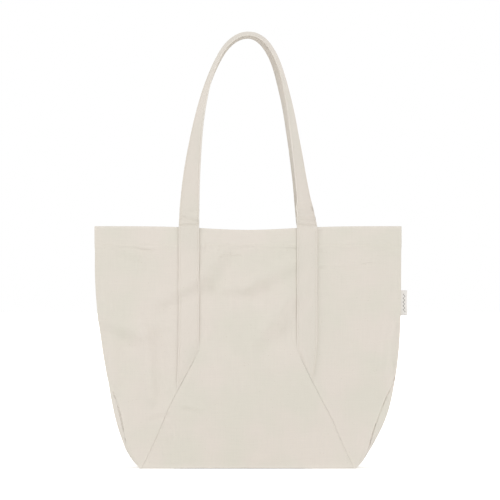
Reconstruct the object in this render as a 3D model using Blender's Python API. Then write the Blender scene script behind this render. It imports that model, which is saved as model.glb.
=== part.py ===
"""Canvas shopping bag: panelled body on a flat base, two long strap handles and a side seam label.

Metres, +Z up. The origin is the middle of the base, +X is the bag's right as seen from the front,
and the front faces -Y.
"""

import math

import bmesh
import bpy
from mathutils import Vector

# Body, measured flat face to flat face. The side walls fold shut towards the mouth.
TOP_WIDTH = 0.450
BODY_HEIGHT = 0.3535
BASE_WIDTH = 0.316
BASE_DEPTH = 0.134
MOUTH_DEPTH = 0.052
MOUTH_EDGE = 0.010
MOUTH_SAG = 0.0055
SIDE_SHUT_HEIGHT = 0.300
CORNER_ROLL = 0.018
CORNER_RADIUS = 0.012
BASE_FOLD_RADIUS = 0.006
BASE_TURN = 0.010
SWELL_BOTTOM = 0.025
SWELL_TOP = 0.125
SIDE_SWELL = {"left": 0.006, "right": 0.011}

# Shares and powers that shape the curves above. They have no length.
SIDE_TAPER = {"left": 1.9, "right": 3.3}
CORNER_SHARE = 0.12
FACE_TAPER = 1.25
CORNER_LIMIT = 0.35
KNOT_SHARE = 0.8

# Cloth, thread and the space that parts of the cloth keep from each other.
CANVAS = 0.0010
CLEARANCE = 0.0003
THREAD_WIDTH = 0.0006
THREAD_HEIGHT = 0.0005
STITCH_INSET = 0.0025
HEM_DEPTH = 0.030
BINDING_WIDTH = 0.010
BINDING_FOOT = 0.010

# Straps: sewn down the body to the slanting seams, free above the mouth.
STRAP_WIDTH = 0.030
STRAP_THICKNESS = 0.0024
STRAP_SPACING = 0.173
SLANT_TOP = 0.173
SLANT_INSET = 0.003
SEAM_COVER = 0.006
HANDLE_RISE = {"front": 0.2823, "back": 0.2800}
HANDLE_START = 0.0005
LEG_DRAW = {
    "front": {"left": 0.0024, "right": 0.0124},
    "back": {"left": 0.0007, "right": 0.0129},
}
LEG_DRAW_FADE = {"front": 0.31, "back": 0}
ARCH_POWER = {"front": {"left": 2.10, "right": 2.14}, "back": {"left": 2.11, "right": 1.95}}
TWIST_POWER = {"front": {"left": 1.30, "right": 2.06}, "back": {"left": 1.73, "right": 3.0}}
CROWN_TURN = {"front": math.radians(80.4), "back": math.radians(77.4)}
FLAT_CROWN = 0.80
LEAN_POWER = 3

# Label: a folded ribbon caught in the right side seam.
LABEL_HEIGHT = 0.037
LABEL_LENGTH = 0.008
LABEL_MIDDLE = 0.241
LABEL_PLY = 0.00035
LABEL_FOLD_GAP = 0.0002
LABEL_SWING_ROOM = 0.0007

FACES = {"front": -1, "back": 1}
SIDES = {"left": -1, "right": 1}

# Where the cuts and seams lie, from the sizes above.
HEM_LINE = BODY_HEIGHT - HEM_DEPTH
STRAP_CENTRE = STRAP_SPACING / 2
STRAP_INNER = STRAP_CENTRE - STRAP_WIDTH / 2
STRAP_OUTER = STRAP_CENTRE + STRAP_WIDTH / 2
SLANT_FOOT = BASE_WIDTH / 2 - SLANT_INSET
SEAM_ALONG = STRAP_INNER + SEAM_COVER
SEAM_BEND = SLANT_TOP * (SLANT_FOOT - SEAM_ALONG) / (SLANT_FOOT - STRAP_INNER)
STRAP_STACK = STRAP_THICKNESS + 2 * CLEARANCE + THREAD_HEIGHT
CROWN_DEPTH = (math.hypot(STRAP_WIDTH, STRAP_THICKNESS) + CLEARANCE) / 2

# How finely the curved surfaces are cut.
FOLD_STEPS = 3
LOW_STEPS = 11
HIGH_STEPS = 8
HEM_STEPS = 2
FACE_STEPS = 4
CORNER_STEPS = 3
TAIL_STEPS = 12
ARCH_STEPS = 40
ARCH_PROBE = 0.01
LABEL_FOLD_STEPS = 4


def clamp(value, low, high):
    return max(low, min(high, value))


def spread(start, end, steps):
    """steps + 1 values from start to end."""
    return [start + (end - start) * step / steps for step in range(steps + 1)]


def side_openness(height, side):
    """1 where the side wall has the base's full depth, 0 where it is folded shut."""
    closing = (1 - clamp(height / SIDE_SHUT_HEIGHT, 0, 1)) ** SIDE_TAPER[side]
    return (1 - CORNER_SHARE) * closing + CORNER_SHARE * math.exp(-height / CORNER_ROLL)


def half_width(height, side):
    """From the middle of the bag to the side seam."""
    return TOP_WIDTH / 2 - (TOP_WIDTH - BASE_WIDTH) / 2 * side_openness(height, side)


def side_swell(height, side):
    """How far the side seam stands out past the creases of the side wall."""
    place = clamp((height - SWELL_BOTTOM) / (SWELL_TOP - SWELL_BOTTOM), 0, 1)
    return SIDE_SWELL[side] * math.sin(math.pi * place) ** 2


def fold_inset(height):
    """How far the wall is drawn in where it rolls under to the base."""
    drop = clamp(BASE_FOLD_RADIUS - height, 0, BASE_FOLD_RADIUS)
    return BASE_FOLD_RADIUS - math.sqrt(BASE_FOLD_RADIUS**2 - drop**2)


def face_depth(height):
    """From the middle of the bag to the face, at the face's own middle."""
    rise = clamp(height / BODY_HEIGHT, 0, 1) ** FACE_TAPER
    return BASE_DEPTH / 2 - (BASE_DEPTH - MOUTH_DEPTH) / 2 * rise - fold_inset(height)


def crease(height, side, inset):
    """Plan position of the crease between a face and a side wall, set in by inset."""
    along = half_width(height, side) - side_swell(height, side) - inset
    openness = side_openness(height, side)
    depth = MOUTH_EDGE / 2 + (BASE_DEPTH - MOUTH_EDGE) / 2 * openness - fold_inset(height)
    return along, depth - inset


def wall_depth(along, height, side, inset=0.0):
    """Depth of a face at a distance along from its middle; a negative inset lies outside it."""
    crease_along, crease_depth = crease(height, side, inset)
    crown = face_depth(height) - inset - crease_depth
    return crease_depth + crown * (1 - (along / crease_along) ** 2)


def top_height(along):
    """Height of the mouth's edge, which sags between the straps."""
    return BODY_HEIGHT - MOUTH_SAG * math.exp(-((along / STRAP_CENTRE) ** 2))


def cut_height(height, along):
    """A height in the hem follows the sagging edge of the mouth; below the hem it stays."""
    if height <= HEM_LINE:
        return height
    share = (height - HEM_LINE) / HEM_DEPTH
    return HEM_LINE + share * (top_height(along) - HEM_LINE)


def slant_height(along):
    """Height of the slanting seam at a distance along from the middle of the face."""
    return SLANT_TOP * (SLANT_FOOT - along) / (SLANT_FOOT - STRAP_INNER)


def seam_along(height):
    """Where the centre panel meets the side panel: under the strap, then out along the slant."""
    slant = SLANT_FOOT - (SLANT_FOOT - STRAP_INNER) * height / SLANT_TOP
    return max(slant, SEAM_ALONG)


def corner_radius(height, side, inset):
    """Size of the rounded corner at a crease, which shrinks with the inset and near a seam."""
    outer_along, outer_depth = crease(height, side, 0)
    room = (outer_along - seam_along(height)) / 2
    radius = min(CORNER_RADIUS, CORNER_LIMIT * outer_depth, room)
    return max(radius - inset, CORNER_LIMIT * radius)


def section_knots(height, side, inset, start):
    """Where a section's face, corner and side wall change, and the last two as plan points."""
    crease_along, crease_depth = crease(height, side, inset)
    seam = half_width(height, side) - inset
    radius = corner_radius(height, side, inset)
    corner_along = crease_along - radius
    tape_edge = start + min(BINDING_WIDTH / 2, KNOT_SHARE * (corner_along - start))
    past = radius / math.hypot(seam - crease_along, crease_depth)
    turned = crease_depth * (1 - past)
    side_tape_edge = min(BINDING_WIDTH / 2, KNOT_SHARE * turned)

    def on_side(depth):
        return seam - (seam - crease_along) * depth / crease_depth, depth

    corner = (corner_along, wall_depth(corner_along, height, side, inset))
    side_knots = [on_side(depth) for depth in (turned, side_tape_edge, CLEARANCE / 2)]
    return (start, tape_edge, corner_along), (corner, (crease_along, crease_depth)), side_knots


def section_point(height, side, inset, start, place):
    """Plan point of the wall at one height; place counts the section's knots from start.

    They are start, the edge of the tape inside, the corner's two ends, the edge of the side
    seam's tape, and the side seam.
    """
    face_knots, corner, side_knots = section_knots(height, side, inset, start)
    knot = min(int(place), 4)
    share = place - knot
    if knot < 2:
        along = face_knots[knot] + (face_knots[knot + 1] - face_knots[knot]) * share
        return along, wall_depth(along, height, side, inset)
    if knot == 2:
        weights = ((1 - share) ** 2, 2 * share * (1 - share), share**2)
        points = (*corner, side_knots[0])
    else:
        weights = (1 - share, share)
        points = side_knots[knot - 3:knot - 1]
    return tuple(sum(w * point[axis] for w, point in zip(weights, points)) for axis in (0, 1))


def wall_heights():
    """Heights of the wall's rows, close together near the base where the wall curves most."""
    low = [(step / LOW_STEPS) ** 1.5 for step in range(LOW_STEPS + 1)]
    low = [BINDING_FOOT + (SEAM_BEND - BINDING_FOOT) * share for share in low]
    high = spread(SEAM_BEND, HEM_LINE, HIGH_STEPS)[1:]
    return [BASE_FOLD_RADIUS, *low, *high, *spread(HEM_LINE, BODY_HEIGHT, HEM_STEPS)[1:]]


def wall_rows():
    """Rows from the turned-in edge under the base up to the mouth: height, turn and inset.

    turn is the slope of the cloth there: a quarter turn where it lies flat, 0 where it stands.
    """
    flat = math.pi / 2
    rows = [(0.0, flat, BASE_TURN)]
    for turn in spread(flat, 0, FOLD_STEPS)[:-1]:
        rows.append((BASE_FOLD_RADIUS * (1 - math.sin(turn)), turn, 0.0))
    return rows + [(height, 0.0, 0.0) for height in wall_heights()]


def new_material(name, colour, roughness):
    material = bpy.data.materials.new(name)
    material.use_nodes = True
    shader = material.node_tree.nodes["Principled BSDF"]
    shader.inputs["Base Color"].default_value = (*colour, 1.0)
    shader.inputs["Roughness"].default_value = roughness
    shader.inputs["Metallic"].default_value = 0.0
    return material


def add_folded_quad(mesh, corners):
    """Two triangles, folded on the diagonal nearer the bag's middle, so that layers lie alike."""
    first, second, third, fourth = corners
    if (first.co + third.co).xy.length > (second.co + fourth.co).xy.length:
        first, second, third, fourth = second, third, fourth, first
    mesh.faces.new((first, second, third))
    mesh.faces.new((first, third, fourth))


def sheet_mesh(place, rows, columns):
    """A closed sheet of cloth: place(row, column, layer) gives its outer and inner points."""
    mesh = bmesh.new()
    outer, inner = (
        [[mesh.verts.new(place(row, column, layer)) for column in columns] for row in rows]
        for layer in (0, 1)
    )
    last_row, last_column = len(rows) - 1, len(columns) - 1
    for grid in (outer, inner):
        for lower, upper in zip(grid, grid[1:]):
            for column in range(last_column):
                corners = (lower[column], lower[column + 1], upper[column + 1], upper[column])
                add_folded_quad(mesh, corners)
    rim = [(0, column) for column in range(last_column)]
    rim += [(row, last_column) for row in range(last_row)]
    rim += [(last_row, column) for column in range(last_column, 0, -1)]
    rim += [(row, 0) for row in range(last_row, 0, -1)]
    for (row, column), (next_row, next_column) in zip(rim, rim[1:] + rim[:1]):
        mesh.faces.new(
            (
                outer[row][column],
                outer[next_row][next_column],
                inner[next_row][next_column],
                inner[row][column],
            )
        )
    return mesh


def band_mesh(sections, closed=False):
    """A strap, tape or thread: a bar through sections of four points, closed in a ring or capped."""
    mesh = bmesh.new()
    rings = [[mesh.verts.new(point) for point in section] for section in sections]
    pairs = list(zip(rings, rings[1:]))
    if closed:
        pairs.append((rings[-1], rings[0]))
    else:
        mesh.faces.new(rings[0])
        mesh.faces.new(rings[-1])
    for ring, next_ring in pairs:
        for here in range(4):
            there = (here + 1) % 4
            mesh.faces.new((ring[here], ring[there], next_ring[there], next_ring[here]))
    return mesh


def section_of(point, near, far, low, high):
    """The four points of a section: point(edge, lift) at two edges and two lifts off the cloth."""
    return [point(near, low), point(near, high), point(far, high), point(far, low)]


def add_piece(name, mesh, material, hinge=None):
    """Makes the named object; a moving piece hangs on the empty that marks its joint."""
    origin = hinge.location if hinge else Vector((0, 0, 0))
    bmesh.ops.translate(mesh, verts=mesh.verts, vec=-origin)
    bmesh.ops.recalc_face_normals(mesh, faces=mesh.faces)
    data = bpy.data.meshes.new(name)
    mesh.to_mesh(data)
    mesh.free()
    data.materials.append(material)
    piece = bpy.data.objects.new(name, data)
    piece.parent = hinge
    bpy.context.scene.collection.objects.link(piece)
    return piece


def add_hinge(name, place):
    """An empty on a joint's axis, for the pieces that turn about it."""
    hinge = bpy.data.objects.new(name, None)
    hinge.location = place
    bpy.context.scene.collection.objects.link(hinge)
    return hinge


def row_point(row, layer):
    """Height, inset and lift of a layer of the wall at a row."""
    height, turn, inset = row
    return height, inset + layer * CANVAS * math.cos(turn), layer * CANVAS * math.sin(turn)


def side_of(along):
    return "left" if along < 0 else "right"


def section_places(face_steps):
    """Places along a section: over the face, round the corner and on to the side seam."""
    return [0, *spread(1, 2, face_steps), *spread(2, 3, CORNER_STEPS)[1:], 4, 5]


def centre_panel(face, material):
    """Middle of a face: a straight strip between the straps that flares out to the base corners."""
    shares = spread(-1, 1, 2 * FACE_STEPS)

    def place(row, column, layer):
        height, inset, lift = row_point(row, layer)
        reach = seam_along(height) - CLEARANCE / 2 - row[2]
        tape_edge = reach - (BINDING_WIDTH - CLEARANCE) / 2
        along = [-reach, *(tape_edge * share for share in shares), reach][column]
        depth = wall_depth(abs(along), height, side_of(along), inset)
        return along, FACES[face] * depth, cut_height(height, abs(along)) + lift

    mesh = sheet_mesh(place, wall_rows(), range(len(shares) + 2))
    add_piece(f"{face}_centre_panel", mesh, material)


def side_panel(face, side, material):
    """Quarter of the body: from the seam under the strap round the crease to the side seam."""

    def place(row, spot, layer):
        height, inset, lift = row_point(row, layer)
        start = seam_along(height) + CLEARANCE / 2 - row[2]
        along, depth = section_point(height, side, inset, start, spot)
        return SIDES[side] * along, FACES[face] * depth, cut_height(height, along) + lift

    mesh = sheet_mesh(place, wall_rows(), section_places(FACE_STEPS))
    add_piece(f"{face}_{side}_panel", mesh, material)


def base_panel(material):
    """Flat canvas base, inside the edges of the walls that turn in under the bag."""
    turn = BASE_TURN + CLEARANCE
    size = (BASE_WIDTH - 2 * turn, BASE_DEPTH - 2 * (BASE_FOLD_RADIUS + turn), CANVAS)
    mesh = bmesh.new()
    bmesh.ops.create_cube(mesh, size=1)
    bmesh.ops.scale(mesh, verts=mesh.verts, vec=size)
    bmesh.ops.translate(mesh, verts=mesh.verts, vec=(0, 0, CANVAS / 2))
    add_piece("base_panel", mesh, material)


def base_seam_binding(material):
    """Ring of tape inside the bag, over the seam between the walls' edges and the base."""
    floor = CANVAS + CLEARANCE
    sections = []
    for across, deep in ((1, 1), (-1, 1), (-1, -1), (1, -1)):

        def point(edge, lift):
            turn = BASE_TURN + edge
            along = BASE_WIDTH / 2 - turn
            depth = BASE_DEPTH / 2 - BASE_FOLD_RADIUS - turn
            return across * along, deep * depth, floor + lift

        sections.append(section_of(point, -BINDING_WIDTH / 2, BINDING_WIDTH / 2, 0, CANVAS))
    add_piece("base_seam_binding", band_mesh(sections, closed=True), material)


def binding_rows():
    """Heights of the bindings that run up inside the walls and end under the hem."""
    end = HEM_LINE - CLEARANCE
    return [height for height in wall_heights() if BINDING_FOOT <= height < end] + [end]


def inner_sheet(place_at, rows, columns):
    """A sheet that lies inside the wall; place_at(height, column, inset) gives its points."""
    floor = CANVAS + CLEARANCE
    return sheet_mesh(lambda h, c, layer: place_at(h, c, floor + layer * CANVAS), rows, columns)


def seam_binding(face, side, material):
    """Tape inside the wall over the seam between the centre panel and a side panel."""

    def place(height, edge, inset):
        along = seam_along(height) + edge * BINDING_WIDTH / 2
        depth = wall_depth(along, height, side, inset)
        return SIDES[side] * along, FACES[face] * depth, height

    mesh = inner_sheet(place, binding_rows(), (-1, 0, 1))
    add_piece(f"{face}_{side}_seam_binding", mesh, material)


def side_seam_binding(side, material):
    """Tape inside the side wall over the side seam, narrower where the wall is folded shut."""

    def place(height, edge, inset):
        start = seam_along(height)
        along, depth = section_point(height, side, inset, start, 4 if edge else 5)
        return SIDES[side] * along, edge * depth, height

    mesh = inner_sheet(place, binding_rows(), (-1, 0, 1))
    add_piece(f"{side}_side_seam_binding", mesh, material)


def hem_facing(face, material):
    """Canvas turned in round the mouth, from one side seam to the other."""
    places = section_places(2 * FACE_STEPS)
    columns = [("left", spot) for spot in reversed(places)]
    columns += [("right", spot) for spot in places[1:]]

    def place(height, column, inset):
        side, spot = column
        along, depth = section_point(height, side, inset, 0, spot)
        return SIDES[side] * along, FACES[face] * depth, cut_height(height, along)

    mesh = inner_sheet(place, spread(HEM_LINE, BODY_HEIGHT, HEM_STEPS), columns)
    add_piece(f"{face}_hem_facing", mesh, material)


def hem_stitching(face, name, ends, material):
    """One run of the thread that holds the hem, between two places on a face."""
    level = HEM_LINE + STITCH_INSET
    sections = []
    for along in spread(*ends, FACE_STEPS):

        def point(edge, lift):
            depth = wall_depth(abs(along), level, side_of(along), -CLEARANCE - lift)
            return along, FACES[face] * depth, level + edge

        sections.append(section_of(point, -THREAD_WIDTH / 2, THREAD_WIDTH / 2, 0, THREAD_HEIGHT))
    add_piece(f"{face}_{name}_hem_stitching", band_mesh(sections), material)


def slant_stitching(face, side, material):
    """Edge stitching beside a slanting seam, from the strap's foot down to the base."""
    top = slant_height(STRAP_OUTER) - STITCH_INSET
    heights = [height for height in wall_heights() if height < top] + [top]
    sections = []
    for height in heights:

        def point(edge, lift):
            along = seam_along(height) - STITCH_INSET + edge
            depth = wall_depth(along, height, side, -CLEARANCE - lift)
            return SIDES[side] * along, FACES[face] * depth, height

        sections.append(section_of(point, -THREAD_WIDTH / 2, THREAD_WIDTH / 2, 0, THREAD_HEIGHT))
    add_piece(f"{face}_{side}_slant_stitching", band_mesh(sections), material)


def mouth_height():
    """Height where the handles bend: the highest part of the mouth's edge under a strap."""
    return top_height(STRAP_OUTER)


def over_wall(face, side, along, height, lift):
    """Point outside the wall, the usual clearance and lift away from it."""
    depth = wall_depth(along, height, side, -CLEARANCE - lift)
    return Vector((SIDES[side] * along, FACES[face] * depth, height))


def on_strap(face, side, across, up, margin, lift):
    """Point of a sewn strap: across runs from its inner to its outer edge, up from its foot.

    margin is kept from all four edges; the foot is cut along the slanting seam.
    """
    along = STRAP_INNER + margin + (STRAP_WIDTH - 2 * margin) * across
    slope = math.hypot(1, SLANT_TOP / (SLANT_FOOT - STRAP_INNER))
    foot = slant_height(along) + CLEARANCE + margin * slope
    height = foot + (mouth_height() - CLEARANCE - margin - foot) * up
    return over_wall(face, side, along, height, lift)


def strap_tail(face, side, material):
    """Sewn end of a strap, lying on the face and cut off along the slanting seam."""

    def place(up, across, layer):
        return on_strap(face, side, across, up, 0, (1 - layer) * STRAP_THICKNESS)

    mesh = sheet_mesh(place, spread(0, 1, TAIL_STEPS), spread(0, 1, FACE_STEPS))
    add_piece(f"{face}_{side}_strap_tail", mesh, material)


def strap_stitching(face, side, material):
    """Closed frame of thread on a sewn strap: along its edges, its foot and the mouth."""
    path = [(0, up) for up in spread(0, 1, TAIL_STEPS)]
    path += [(across, 1) for across in spread(0, 1, FACE_STEPS)[1:]]
    path += [(1, up) for up in spread(1, 0, TAIL_STEPS)[1:]]
    path += [(across, 0) for across in spread(1, 0, FACE_STEPS)[1:-1]]
    margins = (STITCH_INSET - THREAD_WIDTH / 2, STITCH_INSET + THREAD_WIDTH / 2)
    low = STRAP_THICKNESS + CLEARANCE
    sections = []
    for across, up in path:

        def point(margin, lift):
            return on_strap(face, side, across, up, margin, lift)

        sections.append(section_of(point, *margins, low, low + THREAD_HEIGHT))
    add_piece(f"{face}_{side}_strap_stitching", band_mesh(sections, closed=True), material)


def handle_axis(face):
    """A point of the line that a handle folds about: at the mouth, just outside the straps."""
    outside = wall_depth(STRAP_INNER, mouth_height(), "left", -STRAP_STACK - CLEARANCE / 2)
    return Vector((0, FACES[face] * outside, mouth_height()))


def arch_centre(face, angle):
    """Middle line of a handle: up the left leg, over the crown and down the right leg."""
    side = "left" if angle < math.pi / 2 else "right"
    power = 2 / ARCH_POWER[face][side]
    rise = clamp(math.sin(angle), 0, 1) ** power
    along = abs(math.cos(angle)) ** power * STRAP_CENTRE
    fade = (1 - rise) ** LEG_DRAW_FADE[face]
    along -= LEG_DRAW[face][side] * math.sin(math.pi * rise) * fade
    foot = over_wall(face, side, STRAP_CENTRE, mouth_height(), STRAP_THICKNESS / 2)
    depth = CROWN_DEPTH + (abs(foot.y) - CROWN_DEPTH) * (1 - rise) ** LEAN_POWER
    height = foot.z + HANDLE_START + rise * HANDLE_RISE[face]
    return Vector((SIDES[side] * along, FACES[face] * depth, height))


def foot_turn(side):
    """Angle of the face under a strap, which the foot of the handle shares."""
    near, far = (wall_depth(x, mouth_height(), side) for x in (STRAP_INNER, STRAP_OUTER))
    return math.atan2(near - far, STRAP_WIDTH)


def arch_frame(face, angle):
    """Centre of a handle at an angle round its arch, and its width and outward directions."""
    side = "left" if angle < math.pi / 2 else "right"
    centre = arch_centre(face, angle)
    if ARCH_PROBE < angle < math.pi - ARCH_PROBE:
        tangent = arch_centre(face, angle + ARCH_PROBE) - arch_centre(face, angle - ARCH_PROBE)
    else:
        tangent = Vector((0, 0, -SIDES[side]))
    tangent.normalize()
    forward = Vector((0, FACES[face], 0))
    forward = (forward - tangent * forward.dot(tangent)).normalized()
    outward = tangent.cross(forward) * FACES[face]
    rise = clamp((centre.z - mouth_height()) / HANDLE_RISE[face] / FLAT_CROWN, 0, 1)
    start = foot_turn(side)
    twist = 1 - (1 - rise) ** TWIST_POWER[face][side]
    turn = start + (CROWN_TURN[face] - start) * twist
    width = forward * math.sin(turn) - outward * math.cos(turn)
    thickness = forward * math.cos(turn) + outward * math.sin(turn)
    return centre, width, thickness


def arch_mesh(face, columns, low, high):
    """A bar that follows a handle: columns lie across its width, low to high is its depth."""

    def place(angle, across, layer):
        centre, width, thickness = arch_frame(face, angle)
        return centre + width * across + thickness * (low if layer else high)

    return sheet_mesh(place, spread(0, math.pi, ARCH_STEPS), columns)


def handle(face, hinge, material):
    """Free arch of a strap: flat on the face at its feet, and nearly level at its crown."""
    half_strap, row = STRAP_WIDTH / 2, STRAP_WIDTH / 2 - STITCH_INSET
    columns = (-half_strap, -row, 0, row, half_strap)
    mesh = arch_mesh(face, columns, -STRAP_THICKNESS / 2, STRAP_THICKNESS / 2)
    add_piece(f"{face}_handle", mesh, material, hinge)


def handle_stitching(face, hinge, material):
    """Rows of thread along both edges of a handle, on its upper and its under side."""
    row = STRAP_WIDTH / 2 - STITCH_INSET
    start = STRAP_THICKNESS / 2 + CLEARANCE
    for edge, middle in (("front", row), ("rear", -row)):
        for side, sign in (("upper", 1), ("under", -1)):
            lifts = sorted((sign * start, sign * (start + THREAD_HEIGHT)))
            columns = (middle - THREAD_WIDTH / 2, middle + THREAD_WIDTH / 2)
            mesh = arch_mesh(face, columns, *lifts)
            add_piece(f"{face}_handle_{edge}_{side}_stitching", mesh, material, hinge)


def label_axis():
    """Foot of the line that the label flaps about, just outside the right side seam."""
    bottom, top = (LABEL_MIDDLE + sign * LABEL_HEIGHT / 2 for sign in (-1, 1))
    seam = max(half_width(bottom, "right"), half_width(top, "right"))
    return Vector((seam + LABEL_SWING_ROOM, 0, bottom))


def side_label(hinge, material):
    """Woven ribbon folded double, with its cut ends at the seam and its fold outwards."""
    inner = LABEL_FOLD_GAP / 2
    outer = inner + LABEL_PLY
    bend = LABEL_LENGTH - outer
    turns = spread(-math.pi / 2, math.pi / 2, LABEL_FOLD_STEPS)
    outline = [(0, -outer)]
    outline += [(bend + outer * math.cos(turn), outer * math.sin(turn)) for turn in turns]
    outline += [(0, outer), (0, inner)]
    outline += [(bend + inner * math.cos(t), inner * math.sin(t)) for t in reversed(turns)]
    outline += [(0, -inner)]
    mesh = bmesh.new()
    foot = [mesh.verts.new(hinge.location + Vector((*point, 0))) for point in outline]
    raised = bmesh.ops.extrude_face_region(mesh, geom=[mesh.faces.new(foot)])
    top = [item for item in raised["geom"] if isinstance(item, bmesh.types.BMVert)]
    bmesh.ops.translate(mesh, verts=top, vec=(0, 0, LABEL_HEIGHT))
    add_piece("side_label", mesh, material, hinge)


def main():
    for item in list(bpy.data.objects):
        bpy.data.objects.remove(item)
    canvas = new_material("natural_canvas", (0.752, 0.701, 0.623), 0.92)
    strap = new_material("strap_canvas", (0.745, 0.694, 0.612), 0.90)
    tape = new_material("binding_tape", (0.720, 0.668, 0.582), 0.90)
    thread = new_material("cotton_thread", (0.700, 0.640, 0.540), 0.70)
    ribbon = new_material("woven_ribbon", (0.850, 0.840, 0.815), 0.75)

    level = HEM_LINE + STITCH_INSET
    near, far = STRAP_INNER - CLEARANCE, STRAP_OUTER + CLEARANCE
    ends = {side: crease(level, side, 0)[0] - corner_radius(level, side, 0) for side in SIDES}
    runs = {"left": (-ends["left"], -far), "centre": (-near, near), "right": (far, ends["right"])}

    base_panel(canvas)
    base_seam_binding(tape)
    for face in FACES:
        centre_panel(face, canvas)
        hem_facing(face, canvas)
        for name, run in runs.items():
            hem_stitching(face, name, run, thread)
        for side in SIDES:
            side_panel(face, side, canvas)
            seam_binding(face, side, tape)
            slant_stitching(face, side, thread)
            strap_tail(face, side, strap)
            strap_stitching(face, side, thread)
        hinge = add_hinge(f"{face}_handle_hinge", handle_axis(face))
        handle(face, hinge, strap)
        handle_stitching(face, hinge, thread)
    for side in SIDES:
        side_seam_binding(side, tape)
    side_label(add_hinge("side_label_hinge", label_axis()), ribbon)


main()
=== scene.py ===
import math

import bmesh
import bpy
import numpy as np
from mathutils import Matrix, Vector


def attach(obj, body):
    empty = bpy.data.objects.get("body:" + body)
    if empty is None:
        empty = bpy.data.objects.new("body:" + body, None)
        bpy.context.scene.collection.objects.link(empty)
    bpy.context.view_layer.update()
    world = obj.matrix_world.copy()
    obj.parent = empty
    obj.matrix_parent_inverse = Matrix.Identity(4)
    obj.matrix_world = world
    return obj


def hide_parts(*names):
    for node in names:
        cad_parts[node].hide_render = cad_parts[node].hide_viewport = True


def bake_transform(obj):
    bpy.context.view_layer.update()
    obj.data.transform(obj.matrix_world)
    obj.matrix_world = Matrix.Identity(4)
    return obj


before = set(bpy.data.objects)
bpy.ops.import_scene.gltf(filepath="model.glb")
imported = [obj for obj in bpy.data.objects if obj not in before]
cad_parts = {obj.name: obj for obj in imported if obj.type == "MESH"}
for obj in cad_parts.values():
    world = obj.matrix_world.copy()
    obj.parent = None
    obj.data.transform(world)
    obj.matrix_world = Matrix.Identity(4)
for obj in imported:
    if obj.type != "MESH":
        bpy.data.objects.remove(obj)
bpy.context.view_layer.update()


# Camera
# The photograph is a level view, straight at the front, through a long lens.
# The bag fills its height, with the tops of the handles near the upper edge.
VIEW_MIDDLE = (0.0029, 0.3185)
VIEW_WIDTH = 0.7325
LENS_MM = 600
SENSOR_MM = 36


def put_in_scene(name, data):
    """A new object in the scene, for the camera, a lamp or a finished mesh."""
    thing = bpy.data.objects.new(name, data)
    bpy.context.scene.collection.objects.link(thing)
    return thing


camera_data = bpy.data.cameras.new("camera")
camera_data.lens = LENS_MM
camera_data.sensor_width = SENSOR_MM
camera_data.clip_end = 100
camera = put_in_scene("camera", camera_data)
camera.location = (VIEW_MIDDLE[0], -VIEW_WIDTH * LENS_MM / SENSOR_MM, VIEW_MIDDLE[1])
camera.rotation_euler = (math.pi / 2, 0, 0)
bpy.context.scene.camera = camera


# Walls
# Six panels of heavy natural canvas: a centre panel and two side panels on each
# face. They are sewn edge to edge under the straps and down the slanting seams,
# turn in under the bag at the base and roll over a facing at the mouth.
FACES = {"front": -1, "back": 1}
SIDES = {"left": -1, "right": 1}
# The bag's main sizes, and how far its mouth stands open and sags between the straps.
TOP_WIDTH = 0.450
BODY_HEIGHT = 0.3535
BASE_WIDTH = 0.316
BASE_DEPTH = 0.134
MOUTH_DEPTH = 0.052
MOUTH_EDGE = 0.010
MOUTH_SAG = 0.0055
# Where a side wall is folded shut, how round its corners are, and the turn-in at the base.
SIDE_SHUT_HEIGHT = 0.300
CORNER_ROLL = 0.018
CORNER_RADIUS = 0.012
BASE_FOLD_RADIUS = 0.001
BASE_TURN = 0.010
# How the side seam stands out past the creases of its wall. A pair is left and right.
SWELL_BOTTOM = 0.012
SWELL_TOP = 0.134
SIDE_SWELL = (0.0107, 0.0132)
SIDE_SLACK = (0.0066, 0.0025)
SLACK_RISE = ((-0.006, 0.035), (0.030, 0.090))
TUCK_DEPTH = (0.0003, 0.0006)
TUCK_HALF = 0.00022
SIDE_TAPER = (1.9, 3.3)
# Where the creases are sharp and pinched: the height at which that starts, and its span.
SHARP_SPAN = (0.010, 0.130)
PINCH_SPAN = (0.014, 0.120)
# How the corners and the faces narrow towards the mouth.
CORNER_SHARE = 0.12
FACE_TAPER = 1.25
CORNER_LIMIT = 0.35
# The cloth, its hem, the straps that hide its upper seams, and the slanting seams.
CANVAS = 0.0010
CLEARANCE = 0.0003
HEM_DEPTH = 0.030
HEM_LINE = BODY_HEIGHT - HEM_DEPTH
STITCH_INSET = 0.0025
STRAP_WIDTH = 0.030
STRAP_SPACING = 0.173
STRAP_CENTRE = STRAP_SPACING / 2
STRAP_INNER = STRAP_CENTRE - STRAP_WIDTH / 2
SLANT_TOP = 0.173
SLANT_FOOT = BASE_WIDTH / 2 - 0.003
SEAM_ALONG = STRAP_INNER + 0.006
MOUTH_ROLL = CANVAS + CLEARANCE / 2
ROW_PITCHES = (0.0022, 0.0022, 0.0011, 0.0022)


def by_side(side, pair):
    """The left or the right value of a pair, for side -1 or 1."""
    return np.where(np.asarray(side) < 0, pair[0], pair[1])


def side_openness(height, side):
    """1 where the side wall has the base's full depth, 0 where it is folded shut."""
    shut = 1 - np.clip(height / SIDE_SHUT_HEIGHT, 0, 1)
    closing = shut ** by_side(side, SIDE_TAPER)
    return (1 - CORNER_SHARE) * closing + CORNER_SHARE * np.exp(-height / CORNER_ROLL)


def ease(value, low, high):
    """0 below low, 1 above high and a smooth rise between them."""
    share = np.clip((value - low) / (high - low), 0, 1)
    return share * share * (3 - 2 * share)


def fade(distance, reach):
    """1 on a line and falling smoothly to nothing on both sides of it."""
    return np.exp(-((distance / reach) ** 2))


def hump(height, low, span):
    """0 at the low height, 1 in the middle of the span above it and 0 at its end."""
    return np.sin(math.pi * np.clip((height - low) / span, 0, 1))


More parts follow.
